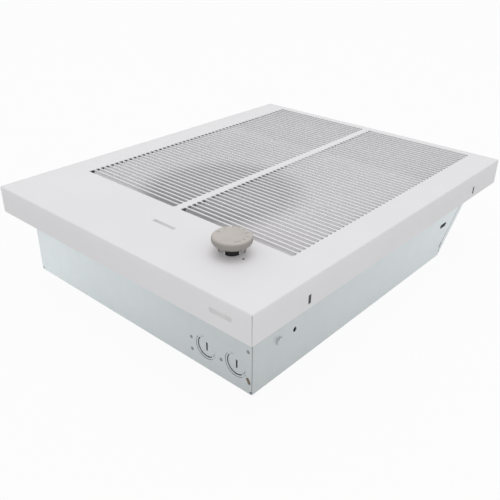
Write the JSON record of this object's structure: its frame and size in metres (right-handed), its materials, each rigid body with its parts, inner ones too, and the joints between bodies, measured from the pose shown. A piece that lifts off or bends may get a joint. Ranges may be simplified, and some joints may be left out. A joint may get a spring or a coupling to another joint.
{
  "type": "wall heater",
  "caption": "Recessed fan-forced wall heater: louvred white front cover on a galvanised can, with thermostat knob, fan, motor and finned element inside.",
  "frame": {"origin": "on the back face of the can, below the middle of the front cover; the heater lies on its back", "axes": "+X to the right seen from the front, +Y to the end that is up on the wall, +Z out of the front"},
  "size_m": [0.405, 0.505, 0.1363],
  "materials": {
    "white_enamel": "satin white enamel",
    "galvanised_sheet": "galvanised, dull",
    "zinc_screw": "zinc plated",
    "spring_steel": "bright steel",
    "motor_laminations": "oiled steel",
    "coil_wrap": "taped winding",
    "die_cast": "as cast",
    "fan_aluminium": "mill finish",
    "element_sheath": "heat darkened",
    "black_plastic": "moulded black",
    "beige_plastic": "moulded warm grey"
  },
  "bodies": {
    "heater": {"front_cover": "white_enamel", "can_wrapper": "galvanised_sheet", "can_bottom_end": "galvanised_sheet", "can_top_end": "galvanised_sheet", "cover_bracket_left": "galvanised_sheet", "cover_bracket_right": "galvanised_sheet", "cover_clips": "spring_steel", "fan_deck": "galvanised_sheet", "deck_screws": "zinc_screw", "wiring_partition": "galvanised_sheet", "motor_bracket": "galvanised_sheet", "bracket_screws": "zinc_screw", "motor_stator": "motor_laminations", "motor_coil": "coil_wrap", "motor_rear_bridge": "die_cast", "motor_front_bridge": "die_cast", "motor_screws": "zinc_screw", "heating_element": "element_sheath", "element_fins": "element_sheath", "element_bracket_left": "galvanised_sheet", "element_bracket_right": "galvanised_sheet", "element_bushings": "zinc_screw", "thermostat_body": "black_plastic", "thermostat_screws": "zinc_screw", "limit_control": "black_plastic", "limit_screws": "zinc_screw", "fan_delay_switch": "black_plastic", "ground_screw": "zinc_screw"},
    "fan": {"fan_blade": "fan_aluminium", "fan_hub": "die_cast", "motor_rotor": "die_cast"},
    "dial": {"knob": "beige_plastic", "thermostat_shaft": "spring_steel"}
  },
  "joints": [
    {"name": "fan_spin", "type": "hinge", "parent": "heater", "child": "fan", "pos_m": [-0.046, -0.0219, 0.07], "axis": [0, 0, 1], "continuous": true},
    {"name": "dial_turn", "type": "hinge", "parent": "heater", "child": "dial", "pos_m": [0.116, -0.1845, 0.13], "axis": [0, 0, 1], "range_deg": [-270, 0]}
  ]
}
